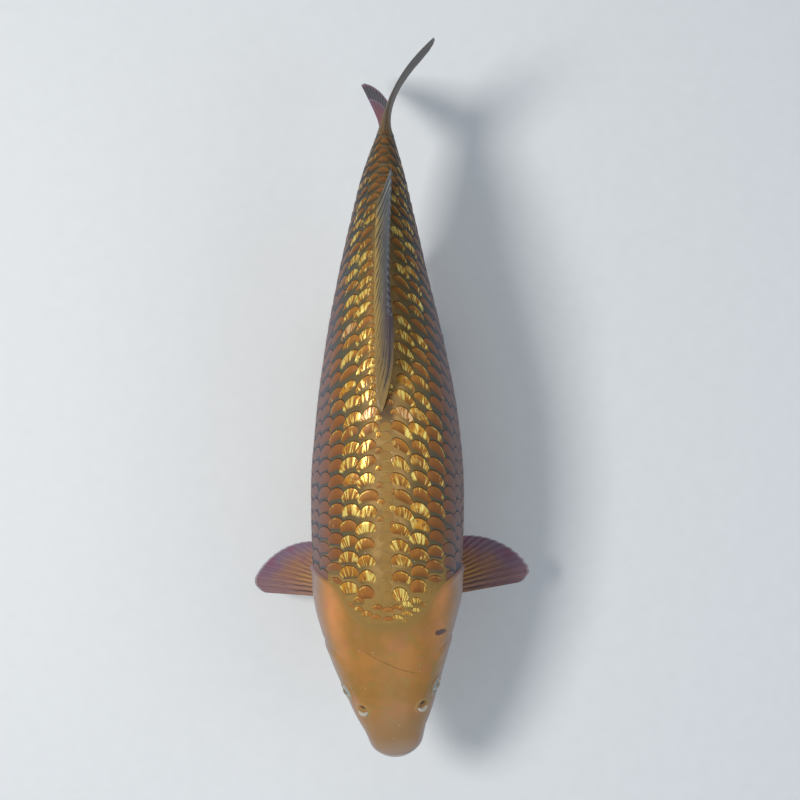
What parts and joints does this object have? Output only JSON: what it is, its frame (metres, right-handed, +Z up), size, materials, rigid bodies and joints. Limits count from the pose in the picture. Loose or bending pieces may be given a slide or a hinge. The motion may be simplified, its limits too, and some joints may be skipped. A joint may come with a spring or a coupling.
{
  "type": "koi carp display model",
  "caption": "Life-size koi carp with brown head skin and golden net-patterned scales, swimming with folded dorsal fin, held over a flat base by short rods.",
  "frame": {"origin": "middle of the stand base's underside, on the floor", "axes": "+Z up, snout towards -Y and tail towards +Y, the fish's own left side towards +X"},
  "size_m": [0.2893, 0.7016, 0.2825],
  "materials": {
    "head_skin": "smooth wet skin, orange tan",
    "scaled_skin": "wet scales, copper with a grey-teal net and gold glints",
    "lip_skin": "soft wet skin, pale pink brown",
    "fin_skin": "thin membrane on rays, ochre to mauve",
    "dorsal_skin": "thin membrane on rays, olive to blue grey",
    "tail_skin": "thin membrane on rays, grey with crimson",
    "eye": "polished, dark with a golden ring",
    "stand_base": "satin black",
    "stand_rod": "satin"
  },
  "bodies": {
    "root": {"head": "head_skin", "gill_cover_left": "head_skin", "gill_cover_right": "head_skin", "upper_lip": "lip_skin", "lower_jaw": "lip_skin", "barbel_front_left": "lip_skin", "barbel_front_right": "lip_skin", "barbel_rear_left": "lip_skin", "barbel_rear_right": "lip_skin", "eye_left": "eye", "eye_right": "eye", "trunk_front": "scaled_skin", "trunk_rear": "scaled_skin", "tail_stalk": "scaled_skin", "fin_dorsal": "dorsal_skin", "fin_anal": "fin_skin", "fin_pectoral_left": "fin_skin", "fin_pectoral_right": "fin_skin", "fin_pelvic_left": "fin_skin", "fin_pelvic_right": "fin_skin", "fin_caudal_upper": "tail_skin", "fin_caudal_lower": "tail_skin", "stand_base": "stand_base", "stand_rod_front": "stand_rod", "stand_rod_rear": "stand_rod"}
  },
  "joints": []
}
